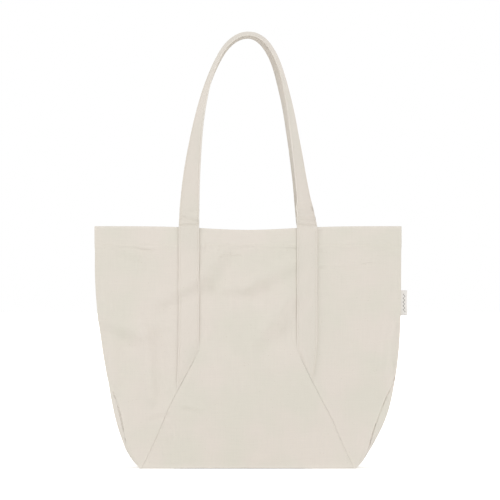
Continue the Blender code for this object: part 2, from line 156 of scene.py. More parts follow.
def half_width(height, side):
    """From the middle of the bag to the side seam, with the slack of the lower corners."""
    start, full = by_side(side, SLACK_RISE[0]), by_side(side, SLACK_RISE[1])
    slack = by_side(side, SIDE_SLACK) * ease(height, start, full)
    slack = slack * (1 - ease(height, 0.050, 0.150))
    return TOP_WIDTH / 2 - (TOP_WIDTH - BASE_WIDTH) / 2 * side_openness(height, side) + slack


def side_swell(height, side):
    """How far the side seam stands out past the creases of the side wall."""
    return by_side(side, SIDE_SWELL) * hump(height, SWELL_BOTTOM, SWELL_TOP - SWELL_BOTTOM)


def fold_inset(height):
    """How far the wall is drawn in where it rolls under to the base."""
    drop = np.clip(BASE_FOLD_RADIUS - height, 0, BASE_FOLD_RADIUS)
    return BASE_FOLD_RADIUS - np.sqrt(BASE_FOLD_RADIUS**2 - drop**2)


def crease(height, side, inset=0.0):
    """Plan position of the crease between a face and a side wall."""
    along = half_width(height, side) - side_swell(height, side) - inset
    half_edge = MOUTH_EDGE / 2
    open_depth = (BASE_DEPTH / 2 - half_edge) * side_openness(height, side)
    return along, half_edge + open_depth - fold_inset(height) - inset


def wall_depth(along, height, inset=0.0):
    """Depth of a face at a distance to the left (-) or right (+) of its middle."""
    crease_along, crease_depth = crease(height, np.sign(along), inset)
    rise = np.clip(height / BODY_HEIGHT, 0, 1) ** FACE_TAPER
    middle = BASE_DEPTH / 2 - (BASE_DEPTH - MOUTH_DEPTH) / 2 * rise
    crown = middle - fold_inset(height) - inset - crease_depth
    return crease_depth + crown * (1 - (along / crease_along) ** 2)


def cut_height(height, along):
    """Above the hem line, heights follow the mouth's edge as it sags between the straps."""
    share = np.clip((height - HEM_LINE) / HEM_DEPTH, 0, 1)
    return height - share * MOUTH_SAG * fade(along, STRAP_CENTRE)


def seam_along(height):
    """Where the centre panel meets a side panel: under the strap, then out on the slant."""
    slant = SLANT_FOOT - (SLANT_FOOT - STRAP_INNER) * height / SLANT_TOP
    return np.maximum(slant, SEAM_ALONG)


# How the cloth lies: folds along lines on a face, as x and height of both ends, then how
# far they reach to each side and how high they stand, all in millimetres. Above a line, or
# to its left, the cloth stands proud; below it, or to its right, it falls away.
SOFT_FOLDS = {
    "front": (
        (-212, 208, -166, 190, 15, 1.4),
        (-192, 186, -188, 128, 12, 0.9),
        (-146, 212, -141, 196, 13, 1.0),
        (-140, 190, -133, 106, 13, 1.7),
        (-118, 192, -108, 172, 8, 0.6),
        (-124, 238, -64, 272, 13, 1.3),
        (-62, 268, -36, 306, 17, 1.6),
        (-160, 312, -156, 290, 9, 0.6),
        (-184, 312, -164, 306, 8, 0.5),
        (-205, 245, -196, 225, 7, 0.5),
        (-38, 256, 2, 258, 12, 1.2),
        (2, 258, 20, 270, 11, 1.0),
        (20, 270, 66, 290, 13, 1.1),
        (64, 238, 40, 206, 16, 1.4),
        (40, 206, 16, 180, 15, 1.0),
        (-22, 246, -16, 222, 9, 0.4),
        (-56, 188, -24, 130, 20, 0.7),
        (212, 208, 206, 150, 9, 0.8),
        (206, 150, 210, 126, 8, 0.8),
        (-92, 88, -70, 84, 5, 0.4),
        (-116, 62, -110, 48, 6, 0.5),
        (-142, 74, -118, 79, 6, 0.4),
        (-138, 40, -122, 10, 8, 0.6),
    ),
    "back": (
        (-62, 292, -18, 250, 12, 1.1),
        (36, 262, -48, 224, 11, 1.0),
        (-64, 204, -30, 150, 13, 0.9),
        (54, 172, 20, 96, 14, 0.9),
        (-212, 230, -160, 186, 12, 1.2),
        (-150, 130, -124, 70, 11, 0.8),
        (118, 282, 148, 206, 11, 1.0),
        (208, 240, 176, 192, 11, 0.9),
        (150, 150, 168, 92, 10, 0.9),
        (-20, 80, 60, 52, 16, 0.7),
    ),
}
# Short puckers where the hem's stitching draws the cloth up, in the same numbers.
HEM_PUCKERS = {
    "front": (
        (-190, 323.5, -166, 322, 2.2, 0.35),
        (-166, 322.5, -154, 321, 2.2, 0.30),
        (-156, 320, -140, 319, 2.0, 0.50),
        (-64, 325, -62, 318, 2.6, 0.60),
        (-50, 325, -44, 322, 2.5, 0.25),
        (-38, 310, -28, 314, 2.6, 0.45),
        (-26, 311, -12, 311, 2.2, 0.35),
        (-14, 324, 6, 324, 2.6, 0.35),
        (56, 322, 69, 322, 2.4, 0.50),
        (104, 294, 112, 295, 2.4, 0.50),
        (134, 294, 158, 293, 5.0, 0.40),
        (134, 280, 138, 274, 2.2, 0.30),
        (168, 299, 178, 300, 2.4, 0.50),
        (106, 320, 112, 316, 4.0, 0.35),
        (-92, 336, -84, 334, 2.0, 0.25),
    ),
    "back": (
        (-190, 321, -168, 320, 2.2, 0.45),
        (-120, 318, -104, 320, 2.2, 0.40),
        (-48, 320, -30, 318, 2.4, 0.45),
        (20, 321, 48, 319, 2.4, 0.40),
        (112, 319, 130, 321, 2.2, 0.50),
        (176, 320, 196, 318, 2.4, 0.40),
    ),
}
# Where a slanting seam bows: x and height, reach across and up, and how far it is drawn.
SEAM_BOWS = {
    "front": ((-112, 100, 30, 55, -3.0), (120, 72, 30, 32, 2.2)),
    "back": ((-118, 70, 30, 32, -2.0),),
}
SLOW_WAVES = ((8.5, 0.0011), (23.0, 0.0006), (70.0, 0.00014))
FOLD_STRENGTH = 2.6
PUCKER_STRENGTH = 2.0
CREASE_LIP = 0.0004
# Grooves along the panel seams, the side seams and the hem's thread: depth, and reach.
SEAM_GROOVE = (0.00045, 0.0008)
SIDE_GROOVE = (0.0005, 0.0012)
HEM_GROOVE = (0.00025, 0.0011)
HEM_STEP = 0.0006
GATHER_HEIGHT = 0.0005
GATHER_REACH = 0.012
PUCKER_PITCH = 0.0105


def ripple(points, scale, seed=0):
    """Smooth swells from about -1 to 1 at points: fourteen waves that run all ways."""
    draw = np.random.default_rng(seed)
    total = np.zeros(points.shape[:-1])
    for _ in range(14):
        way = draw.normal(size=3)
        way *= scale * draw.uniform(2.0, 5.0) / np.linalg.norm(way)
        total += np.sin(points @ way + draw.uniform(0, 2 * math.pi))
    return total * 0.11


def fold_height(across, up, folds):
    """Sum of the folds at places on a face, in metres."""
    total = np.zeros_like(across)
    for x0, z0, x1, z1, reach, height in np.array(folds) / 1000:
        run = np.array((x1 - x0, z1 - z0))
        length = math.hypot(*run)
        share = ((across - x0) * run[0] + (up - z0) * run[1]) / length**2
        share = np.clip(share, 0, 1)
        away = np.hypot(across - x0 - run[0] * share, up - z0 - run[1] * share)
        square = np.array((-run[1], run[0])) / length
        if 0.8 * square[1] < 0.6 * square[0]:
            square = -square
        beside = (across - x0) * square[0] + (up - z0) * square[1]
        total += 1.65 * height * beside / reach * fade(away, reach)
    return total


def relief(points, face):
    """How far the cloth stands off the bag's plain shape, at points of that shape."""
    across, deep, up = points[..., 0], points[..., 1], points[..., 2]
    calm = ease(up, 0.004, 0.040)
    openness = side_openness(up, np.sign(across))
    room = 0.3 + 0.7 * np.maximum(openness, 1 - ease(np.abs(across), 0.12, 0.21))
    room = room * (1 - 0.65 * ease(up, 0.300, 0.350))
    total = fold_height(across, up, SOFT_FOLDS[face]) * calm * FOLD_STRENGTH
    total *= ease(np.abs(deep), 0.001, 0.014)
    for scale, height in SLOW_WAVES:
        total += ripple(points, scale) * height * calm * room
    total += fold_height(across, up, HEM_PUCKERS[face]) * PUCKER_STRENGTH
    beside = np.abs(np.abs(across) - seam_along(up)) * 0.9
    total -= SEAM_GROOVE[0] * fade(beside, SEAM_GROOVE[1]) * ease(up, 0, 0.006)
    total -= SIDE_GROOVE[0] * fade(deep, SIDE_GROOVE[1]) * ease(up, 0, 0.006)
    sewn = HEM_LINE + STITCH_INSET
    total += HEM_STEP * (ease(up, sewn - 0.009, sewn) - 1)
    total -= HEM_GROOVE[0] * fade(up - sewn, HEM_GROOVE[1])
    below = fade(np.maximum(sewn - up, 0), GATHER_REACH) * ease(sewn - up, -0.002, 0.002)
    drawn = ripple(points * (1, 0, 0.3), 1 / PUCKER_PITCH, 3)
    total += GATHER_HEIGHT * drawn * below
    return total


def bowed(points, face):
    """The same points, drawn sideways where the slanting seams bow."""
    for along, up, reach_x, reach_z, shift in np.array(SEAM_BOWS[face]) / 1000:
        off = ((points[..., 0] - along) / reach_x) ** 2 + ((points[..., 2] - up) / reach_z) ** 2
        points[..., 0] += shift * np.exp(-off)
    return points


def face_points(face, along, height, inset=0.0, lift=0.0):
    """Points on a face of the bag, with its folds, set in or lifted square to the cloth."""
    along, height = np.broadcast_arrays(np.asarray(along, float), np.asarray(height, float))
    step = 1e-4
    lean = (wall_depth(along + step, height) - wall_depth(along - step, height)) / (2 * step)
    tilt = (wall_depth(along, height + step) - wall_depth(along, height - step)) / (2 * step)
    sign = FACES[face]
    normal = np.stack((-lean, np.full_like(lean, sign), -tilt), -1)
    normal /= np.linalg.norm(normal, axis=-1, keepdims=True)
    level = cut_height(height, along)
    outer = np.stack((along, sign * wall_depth(along, height), level), -1)
    place = np.stack((along, sign * wall_depth(along, height, inset), level), -1)
    return bowed(place + normal * (relief(outer, face) + lift)[..., None], face)


def plan_point(side, start, place, height, inset):
    """Plan point on a wall: place 0 to 1 runs over the face, to 2 round the corner, to 3
    back to the side seam."""
    crease_along, crease_depth = crease(height, side, inset)
    outer_along, outer_depth = crease(height, side)
    room = (outer_along - seam_along(height)) / 2
    sharp = 0.8 * hump(height, *SHARP_SPAN) ** 0.6
    radius = np.minimum(CORNER_RADIUS * (1 - sharp), CORNER_LIMIT * outer_depth)
    radius = np.minimum(radius, room)
    radius = np.maximum(radius - inset, CORNER_LIMIT * radius)
    corner = crease_along - radius
    seam = half_width(height, side) - inset
    turned = crease_depth - radius
    swell = seam - crease_along
    tuck = by_side(side, TUCK_DEPTH) * ease(swell, 0.0015, 0.0065)

    def on_side(depth):
        """Plan point of the side wall at a depth, tucked in beside the crease."""
        out = swell * (1 - np.clip(depth / turned, 0, 1) ** 1.6) ** 0.6
        tucked = tuck * fade(out - 1.6 * TUCK_HALF, TUCK_HALF)
        return crease_along + out, depth - np.minimum(tucked, 0.3 * depth)

    over = start + (corner - start) * np.clip(place, 0, 1)
    bend = np.clip(place - 1, 0, 1)
    on_face = (over, wall_depth(over * side, height, inset))
    ends = on_face, (crease_along, crease_depth), on_side(turned)
    weights = (1 - bend) ** 2, 2 * bend * (1 - bend), bend**2
    turning = [sum(w * end[axis] for w, end in zip(weights, ends)) for axis in (0, 1)]
    along_side = on_side(turned * (1 - np.clip(place - 2, 0, 1)))
    return [np.where(place <= 2, turning[axis], along_side[axis]) for axis in (0, 1)]


def round_points(face, side, start, place, height, inset=0.0, lift=0.0):
    """Points that run on from a face, round the corner and back to the side seam."""
    signs = np.array((side, FACES[face], 1.0))

    def local(place, height, inset):
        """The point before it is turned to its own face and side."""
        along, deep = plan_point(side, start, place, height, inset)
        return np.stack((along, deep, cut_height(height, along)), -1)

    step = 1e-3
    across = local(np.minimum(place + step, 3), height, 0) - local(place - step, height, 0)
    upward = local(place, height + step, 0) - local(place, height - step, 0)
    normal = np.cross(upward, across)
    normal /= np.maximum(np.linalg.norm(normal, axis=-1, keepdims=True), 1e-12)
    outer = local(place, height, 0) * signs
    off = relief(outer, face) + lift
    return bowed(local(place, height, inset) * signs + normal * signs * off[..., None], face)


def arc(points, axis):
    """Distance run along one axis of a grid of points."""
    steps = np.linalg.norm(np.diff(points, axis=axis), axis=-1)
    pad = [(0, 0)] * steps.ndim
    pad[axis] = (1, 0)
    return np.cumsum(np.pad(steps, pad), axis=axis)


def finished_mesh(name, form):
    """The mesh that a finished form leaves behind."""
    data = bpy.data.meshes.new(name)
    form.to_mesh(data)
    form.free()
    return data


def lay_cloth(name, points, flat, wear, material, thick, flip=False, closed=False):
    """A flat grid of cloth laid on rows of points, with its flat cut as its UV map in metres."""
    rows, columns = points.shape[:2]
    cloth = bmesh.new()
    bmesh.ops.create_grid(cloth, x_segments=columns - 1, y_segments=rows - 1, size=0.5)
    data = finished_mesh(name, cloth)
    spots = np.empty(rows * columns * 3)
    data.vertices.foreach_get("co", spots)
    spots = spots.reshape(-1, 3)
    across = np.rint((spots[:, 0] + 0.5) * (columns - 1)).astype(int)
    up = np.rint((spots[:, 1] + 0.5) * (rows - 1)).astype(int)
    data.vertices.foreach_set("co", points[up, across].ravel())
    corners = np.empty(len(data.loops), int)
    data.loops.foreach_get("vertex_index", corners)
    uv = data.uv_layers.new(name="cut")
    uv.data.foreach_set("uv", flat[up, across][corners].ravel())
    worn = data.attributes.new("wear", "FLOAT", "POINT")
    worn.data.foreach_set("value", np.broadcast_to(wear, (rows, columns))[up, across].ravel())
    cloth = bmesh.new()
    cloth.from_mesh(data)
    if closed:
        bmesh.ops.remove_doubles(cloth, verts=cloth.verts, dist=1e-6)
        rims = [edge for edge in cloth.edges if edge.is_boundary]
        bmesh.ops.holes_fill(cloth, edges=rims, sides=0)
        bmesh.ops.recalc_face_normals(cloth, faces=cloth.faces)
    elif flip:
        bmesh.ops.reverse_faces(cloth, faces=cloth.faces)
    for face in cloth.faces:
        face.smooth = True
    cloth.to_mesh(data)
    cloth.free()
    data.materials.append(material)
    piece = put_in_scene(name, data)
    if thick:
        wall = piece.modifiers.new("thickness", "SOLIDIFY")
        wall.thickness = thick
        wall.offset = -1
        wall.use_quality_normals = True
    return piece


def srgb(code):
    """A colour written as sRGB hex, as the linear RGBA that a shader takes."""
    parts = [int(code[place:place + 2], 16) / 255 for place in (1, 3, 5)]
    linear = [c / 12.92 if c <= 0.04045 else ((c + 0.055) / 1.055) ** 2.4 for c in parts]
    return (*linear, 1.0)


def new_material(name):
    """A material, with its node tree and its main shader."""
    material = bpy.data.materials.new(name)
    material.use_nodes = True
    return material, material.node_tree, material.node_tree.nodes["Principled BSDF"]


def add_node(tree, kind, inputs=(), **settings):
    """Adds a node with its settings; inputs gives sockets their values or their links."""
    node = tree.nodes.new("ShaderNode" + kind)
    for name, value in settings.items():
        setattr(node, name, value)
    for socket, value in dict(inputs).items():
        if isinstance(value, bpy.types.NodeSocket):
            tree.links.new(value, node.inputs[socket])
        else:
            node.inputs[socket].default_value = value
    return node


def woven_cotton(name, warm, cool, worn, pitch_mm, roughness, twill=0.0, depth_mm=0.20):
    """Plain or twill woven cotton. Threads pitch_mm apart, thicker slubs that run for some
    centimetres, seed flecks, a slow drift between two tints, and paler rubbed edges."""
    material, tree, shader = new_material(name)
    cut = add_node(tree, "UVMap", uv_map="cut").outputs["UV"]
    place = add_node(tree, "TexCoord").outputs["Object"]
    scale = 1000 / pitch_mm
    sway = add_node(tree, "TexNoise", {"Vector": cut, "Scale": 110.0, "Detail": 1.0})
    sway = add_node(
        tree, "VectorMath", {0: sway.outputs["Color"], "Scale": 0.0011}, operation="SCALE"
    )
    swayed = add_node(tree, "VectorMath", {0: cut, 1: sway.outputs[0]}, operation="ADD")
    threads = add_node(
        tree, "Mapping", {"Vector": swayed.outputs[0], "Scale": (scale, scale, 1.0)}
    )
    split = add_node(tree, "SeparateXYZ", {0: threads.outputs[0]})
    across, along = split.outputs["X"], split.outputs["Y"]
    if twill:
        along = add_node(
            tree, "Math", {0: across, 1: twill, 2: along}, operation="MULTIPLY_ADD"
        ).outputs[0]
    rows = []
    for count in (across, along):
        turn = add_node(tree, "Math", {0: count, 1: math.pi}, operation="MULTIPLY").outputs[0]
        rows.append(add_node(tree, "Math", {0: turn}, operation="SINE").outputs[0])
    lumps = add_node(tree, "Math", {0: rows[0], 1: rows[1]}, operation="MULTIPLY").outputs[0]
    lumps = add_node(tree, "Math", {0: lumps}, operation="ABSOLUTE").outputs[0]

    slubs = []
    for stretch in ((560.0, 26.0, 1.0), (30.0, 520.0, 1.0)):
        drawn = add_node(tree, "Mapping", {"Vector": swayed.outputs[0], "Scale": stretch})
        streak = add_node(
            tree, "TexNoise", {"Vector": drawn.outputs[0], "Scale": 1.0, "Detail": 2.0}
        )
        slubs.append(streak.outputs[0])
    slub = add_node(tree, "Math", {0: slubs[0], 1: slubs[1]}, operation="ADD").outputs[0]

    drift = add_node(tree, "TexNoise", {"Vector": place, "Scale": 14.0, "Detail": 2.0})
    drift = add_node(
        tree, "MapRange", {"Value": drift.outputs[0], "From Min": 0.38, "From Max": 0.62}
    )
    ground = add_node(
        tree, "Mix", {"Factor": drift.outputs[0], 6: srgb(cool), 7: srgb(warm)}, data_type="RGBA"
    )
    shade = add_node(
        tree,
        "MapRange",
        {"Value": slub, "From Min": 0.70, "From Max": 1.30, "To Min": 0.985, "To Max": 1.012},
    )
    grain = add_node(
        tree, "MapRange", {"Value": lumps, "To Min": 0.975, "To Max": 1.012}
    )
    light = add_node(
        tree, "Math", {0: shade.outputs[0], 1: grain.outputs[0]}, operation="MULTIPLY"
    )
    toned = add_node(
        tree, "VectorMath", {0: ground.outputs[2], "Scale": light.outputs[0]}, operation="SCALE"
    )
    specks = add_node(tree, "TexNoise", {"Vector": place, "Scale": 620.0, "Detail": 1.0})
    specks = add_node(
        tree,
        "MapRange",
        {"Value": specks.outputs[0], "From Min": 0.735, "From Max": 0.80, "To Max": 0.35},
    )
    flecked = add_node(
        tree,
        "Mix",
        {"Factor": specks.outputs[0], 6: toned.outputs[0], 7: srgb("#A89878")},
        data_type="RGBA",
    )
    rubbed = add_node(tree, "Attribute", attribute_name="wear").outputs["Fac"]
    fuzz = add_node(tree, "TexNoise", {"Vector": place, "Scale": 190.0, "Detail": 2.0})
    rubbed = add_node(
        tree, "Math", {0: rubbed, 1: fuzz.outputs[0]}, operation="MULTIPLY"
    ).outputs[0]
    edged = add_node(
        tree, "Mix", {"Factor": rubbed, 6: flecked.outputs[2], 7: srgb(worn)}, data_type="RGBA"
    )
    tree.links.new(edged.outputs[2], shader.inputs["Base Color"])

    height = add_node(
        tree, "Math", {0: slub, 1: 0.7, 2: lumps}, operation="MULTIPLY_ADD"
    ).outputs[0]
    bump = add_node(
        tree, "Bump", {"Strength": 0.5, "Distance": depth_mm / 1000, "Height": height}
    )
    tree.links.new(bump.outputs[0], shader.inputs["Normal"])
    gloss = add_node(
        tree, "MapRange", {"Value": lumps, "To Min": roughness + 0.05, "To Max": roughness - 0.05}
    )
    tree.links.new(gloss.outputs[0], shader.inputs["Roughness"])
    shader.inputs["Specular IOR Level"].default_value = 0.25
    shader.inputs["Sheen Weight"].default_value = 0.12
    shader.inputs["Sheen Roughness"].default_value = 0.6
    return material


# Unbleached cotton canvas, plain woven from thick yarn, about 8 threads to the
# centimetre: a matt, slightly uneven cream with slubs and specks of seed.
natural_canvas = woven_cotton(
    "natural_cotton_canvas", "#E3DBD1", "#DFDACE", "#EAE4DA", 1.25, 0.90
)


def row_stations():
    """Heights and insets of the wall's rows, from under the base to the roll at the mouth."""
    turn = np.linspace(math.pi / 2, 0, 8)
    heights = [np.zeros(4), BASE_FOLD_RADIUS * (1 - np.sin(turn))]
    insets = [np.array((BASE_TURN, 0.007, 0.004, 0.0015)), np.zeros(8)]
    bend = SLANT_TOP * (SLANT_FOOT - SEAM_ALONG) / (SLANT_FOOT - STRAP_INNER)
    stops = (BASE_FOLD_RADIUS, bend, HEM_LINE - 0.040, HEM_LINE + 0.005, BODY_HEIGHT - MOUTH_ROLL)
    for low, high, pitch in zip(stops, stops[1:], ROW_PITCHES):
        rows = np.linspace(low, high, math.ceil((high - low) / pitch) + 1)[1:]
        heights.append(rows)
        insets.append(np.zeros(len(rows)))
    roll = np.linspace(0, math.pi / 2, 5)[1:]
    heights.append(BODY_HEIGHT - MOUTH_ROLL + MOUTH_ROLL * np.sin(roll))
    insets.append(MOUTH_ROLL * (1 - np.cos(roll)))
    return np.concatenate(heights)[:, None], np.concatenate(insets)[:, None]


def edge_steps(fine, coarse):
    """Shares from 0 to 1 with a few close steps at the start, where a seam rolls in."""
    return np.concatenate((fine, np.linspace(fine[-1], 1, coarse + 1)[1:]))


SEAM_GAP = 0.0001
SEAM_STEPS = np.array((0, 0.004, 0.008, 0.013, 0.020, 0.032))
CENTRE_STEPS = 78
SIDE_STEPS = 48
CORNER_STEPS = 7
WALL_STEPS = 40
# The column of a side cloth along which the height of its flat cut is measured.
CUT_COLUMN = 20
RUBBED_REACH = 0.0022
heights, insets = row_stations()
rubbed_rows = fade(BODY_HEIGHT - heights, RUBBED_REACH)
rubbed_rows = rubbed_rows + 0.8 * fade(heights, 0.006)
rubbed_rows = rubbed_rows + 0.15 * ease(heights, HEM_LINE - 0.001, HEM_LINE + 0.004)
rubbed_rows = np.clip(rubbed_rows, 0, 1)

for face, sign in FACES.items():
    shares = edge_steps(SEAM_STEPS, CENTRE_STEPS)
    shares = np.concatenate((shares / 2, 1 - shares[-2::-1] / 2)) * 2 - 1
    reach = seam_along(heights) - SEAM_GAP / 2 - insets * (heights < BASE_FOLD_RADIUS)
    along = reach * shares
    points = face_points(face, along, heights, insets)
    middle = len(shares) // 2
    flat = np.stack(np.broadcast_arrays(along, arc(points, 0)[:, middle:middle + 1]), -1)
    piece = lay_cloth(
        f"{face}_centre_cloth", points, flat, rubbed_rows, natural_canvas, CANVAS, sign > 0
    )
    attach(piece, "bag")
    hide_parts(f"{face}_centre_panel")

    for side_name, side in SIDES.items():
        places = edge_steps(SEAM_STEPS * 1.6, SIDE_STEPS)
        side_wall = 2 + np.linspace(0, 1, WALL_STEPS + 1)[1:] ** 2
        places = np.concatenate((places, np.linspace(1, 2, CORNER_STEPS + 1)[1:], side_wall))
        start = seam_along(heights) + SEAM_GAP / 2 - insets * (heights < BASE_FOLD_RADIUS)
        plain = round_points(face, side, start, places[None, :], heights, insets)
        run = arc(plain, 1)
        corner = run[:, [len(places) - len(side_wall) - 1]]
        pinch = hump(heights, *PINCH_SPAN) ** 0.6
        fold = run - corner
        lift = pinch * CREASE_LIP * fade(fold + 0.0020, 0.0020)
        points = round_points(face, side, start, places[None, :], heights, insets, lift)
        rows_run = arc(points, 0)[:, CUT_COLUMN:CUT_COLUMN + 1]
        flat = np.stack(np.broadcast_arrays(run + start, rows_run), -1)
        rubbed = rubbed_rows + 0.5 * fade(fold + 0.0020, 0.0030) * pinch
        piece = lay_cloth(
            f"{face}_{side_name}_cloth",
            points,
            flat,
            np.clip(rubbed, 0, 1),
            natural_canvas,
            CANVAS,
            sign * side > 0,
        )
        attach(piece, "bag")
        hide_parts(f"{face}_{side_name}_panel")


# Base
# One rectangle of the same canvas, inside the edges of the walls that turn in
# under the bag. It lies on the ground and lifts a little where nothing holds it.
turn_in = BASE_TURN + CLEARANCE
base_half = (BASE_WIDTH / 2 - turn_in, BASE_DEPTH / 2 - BASE_FOLD_RADIUS - turn_in)
across, deep = np.meshgrid(
    np.linspace(-base_half[0], base_half[0], 101), np.linspace(-base_half[1], base_half[1], 37)
)
edge = np.minimum(base_half[0] - np.abs(across), base_half[1] - np.abs(deep))
points = np.stack((across, deep, np.zeros_like(across)), -1)
points[..., 2] = ease(edge, 0.004, 0.030) * 0.0009 * (1 + ripple(points, 17.0))
flat = np.stack((across, deep), -1)
base_cloth = lay_cloth(
    "base_cloth", points, flat, np.zeros_like(across), natural_canvas, CANVAS, True
)
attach(base_cloth, "bag")
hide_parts("base_panel")


# Hem facings
# A strip of the same canvas turned in round the mouth on each face. Its top rolls
# over the edge and its lower edge is folded under and caught by the hem's stitching.
FACING_INSET = 2 * CANVAS + CLEARANCE
FACING_ROWS = 14
roll = np.linspace(0, math.pi / 2, 5)
facing_heights = np.concatenate(
    (
        HEM_LINE + CANVAS * (1 - np.sin(roll[::-1])),
        np.linspace(HEM_LINE + CANVAS, BODY_HEIGHT - MOUTH_ROLL, FACING_ROWS + 1)[1:],
        BODY_HEIGHT - MOUTH_ROLL + MOUTH_ROLL * np.sin(roll[1:]),
    )
)[:, None]
facing_insets = np.concatenate(
    (
        FACING_INSET - CANVAS * (1 - np.cos(roll[::-1])),
        np.full(FACING_ROWS, FACING_INSET),
        FACING_INSET - MOUTH_ROLL * (1 - np.cos(roll[1:])),
    )
)[:, None]
for face, sign in FACES.items():
    halves = []
    for side in SIDES.values():
        places = np.concatenate((np.linspace(0, 1, 61), np.linspace(1, 3, 9)[1:]))[None, :]
        halves.append(round_points(face, side, 0.0, places, facing_heights, facing_insets))
    points = np.concatenate((halves[0][:, :0:-1], halves[1]), axis=1)
    flat = np.stack((arc(points, 1), arc(points, 0)), -1)
    rubbed = fade(BODY_HEIGHT - facing_heights, RUBBED_REACH)
    piece = lay_cloth(
        f"{face}_hem_facing_cloth", points, flat, rubbed, natural_canvas, CANVAS, sign < 0
    )
    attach(piece, "bag")
    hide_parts(f"{face}_hem_facing")


# Seam tapes
# Inside the bag, cotton twill tape 10 mm wide covers the raw edges of each
# seam: four panel seams, two side seams and the seam round the base.
TAPE_WIDTH = 0.010
TAPE_FOOT = 0.010
TAPE_THICKNESS = CANVAS * 0.8
TAPE_EDGE = 0.0004
TAPE_CORNER = 0.010

# Cotton twill tape: fine slanting ribs, a shade darker and a little smoother than canvas.
binding_tape = woven_cotton(
    "cotton_twill_tape", "#DDD5C7", "#D8D1C3", "#E6DFD3", 0.9, 0.88, twill=0.5
)


def tape_edge_lift(shares):
    """How far a tape's soft edges are lifted off, at places from -1 to 1 across it."""
    return TAPE_EDGE * ease(np.abs(shares), 0.75, 1.0)


close = np.array((0, 0.10, 0.25))
tape_shares = np.concatenate((close - 1, np.linspace(-0.6, 0.6, 5), 1 - close[::-1]))
tape_heights = np.arange(TAPE_FOOT, HEM_LINE - CLEARANCE, 0.004)[:, None]
tape_across = tape_shares[None, :]
soft_edge = tape_edge_lift(tape_across)
for face, sign in FACES.items():
    for side_name, side in SIDES.items():
        along = side * (seam_along(tape_heights) + tape_across * TAPE_WIDTH / 2)
        points = face_points(face, along, tape_heights, FACING_INSET, soft_edge * np.ones_like(along))
        flat = np.stack((arc(points, 1), arc(points, 0)), -1)
        piece = lay_cloth(
            f"{face}_{side_name}_seam_tape",
            points,
            flat,
            np.abs(tape_across) ** 6 * np.ones_like(along),
            binding_tape,
            TAPE_THICKNESS,
            sign * side < 0,
        )
        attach(piece, "bag")
        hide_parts(f"{face}_{side_name}_seam_binding")

for side_name, side in SIDES.items():
    halves = []
    for face, sign in FACES.items():
        crease_depth = crease(tape_heights, side, FACING_INSET)[1]
        wide = np.minimum(TAPE_WIDTH / 2, 0.8 * crease_depth)
        share = np.array((1.0, 0.9, 0.75, 0.5, 0.25, 0.0))[None, :]
        seam, swell = half_width(tape_heights, side), side_swell(tape_heights, side)
        deep = share * wide
        along = seam - FACING_INSET - swell * (deep / crease_depth) ** 1.5
        lift = relief(np.stack(np.broadcast_arrays(side * seam, sign * deep, tape_heights), -1), face)
        halves.append(np.stack((side * (along + lift), sign * deep, tape_heights + 0 * deep), -1))
    points = np.concatenate((halves[0], halves[1][:, -2::-1]), axis=1)
    flat = np.stack((arc(points, 1), arc(points, 0)), -1)
    piece = lay_cloth(
        f"{side_name}_side_seam_tape",
        points,
        flat,
        np.zeros(points.shape[:2]),
        binding_tape,
        TAPE_THICKNESS,
        side > 0,
    )
    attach(piece, "bag")
    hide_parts(f"{side_name}_side_seam_binding")

ring = np.array([(math.cos(turn), math.sin(turn)) for turn in np.linspace(0, 2 * math.pi, 161)])
lines = []
for share in tape_shares:
    half_x = BASE_WIDTH / 2 - BASE_TURN - share * TAPE_WIDTH / 2
    half_y = BASE_DEPTH / 2 - BASE_FOLD_RADIUS - BASE_TURN - share * TAPE_WIDTH / 2
    corner = TAPE_CORNER - share * 0.004
    core = np.array((half_x - corner, half_y - corner))
    lines.append(np.sign(np.round(ring, 9)) * core + ring * corner)
tape_ring = np.stack(lines, 0)
lift = 2 * CANVAS + CLEARANCE - tape_edge_lift(tape_shares)[:, None]
points = np.concatenate((tape_ring, np.broadcast_to(lift[..., None], (*tape_ring.shape[:2], 1))), -1)
flat = np.stack((arc(points, 0), arc(points, 1)), -1)
piece = lay_cloth(
    "base_seam_tape", points, flat, np.zeros(points.shape[:2]), binding_tape, TAPE_THICKNESS, False
)
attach(piece, "bag")
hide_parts("base_seam_binding")


# Straps
# Two long straps of canvas folded to 30 mm, 2.4 mm thick. Each is one piece: sewn
# up a face from the slanting seam to the mouth, free over the crown, and down again.
STRAP_THICKNESS = 0.0024
HANDLE_RISE = {"front": 0.2823, "back": 0.2800}
HANDLE_START = 0.0005
LEG_DRAW = {"front": (0.0022, 0.0099), "back": (0.0007, 0.0132)}
ARCH_POWER = {"front": (2.10, 2.14), "back": (2.11, 1.95)}
TWIST_POWER = {"front": (1.30, 1.50), "back": (1.73, 3.0)}
QUICK_TWIST = {"front": (0.0, 0.62), "back": (0.0, 0.0)}
QUICK_REACH = 0.09
CROWN_TURN = {"front": math.radians(80.4), "back": math.radians(77.4)}
FLAT_CROWN = 0.80
LEAN_POWER = 3
FOOT_TAPER = 0.024
PRESSED = 0.75
FOOT_NARROWING = {"front": (0.0, 0.0058), "back": (0.0030, 0.0)}
# A strap bends from this far below the mouth to this far above it.
BEND_ABOVE = 0.014
# Rows lie a millimetre apart over this length at each end of an arch.
FINE_ROWS = 0.040
EDGE_RADIUS = 0.0011
THREAD_DIP = (0.00028, 0.0008)
# Rows of a sewn strap as shares of its length, closest together at its foot.
TAIL_ROWS = np.concatenate(((0, 0.003, 0.008, 0.016), np.linspace(0.016, 1, 76)[1:]))
CROWN_DEPTH = (math.hypot(STRAP_WIDTH, STRAP_THICKNESS) + CLEARANCE) / 2
MOUTH_HEIGHT = BODY_HEIGHT - MOUTH_SAG * math.exp(
    -(((STRAP_CENTRE + STRAP_WIDTH / 2) / STRAP_CENTRE) ** 2)
)
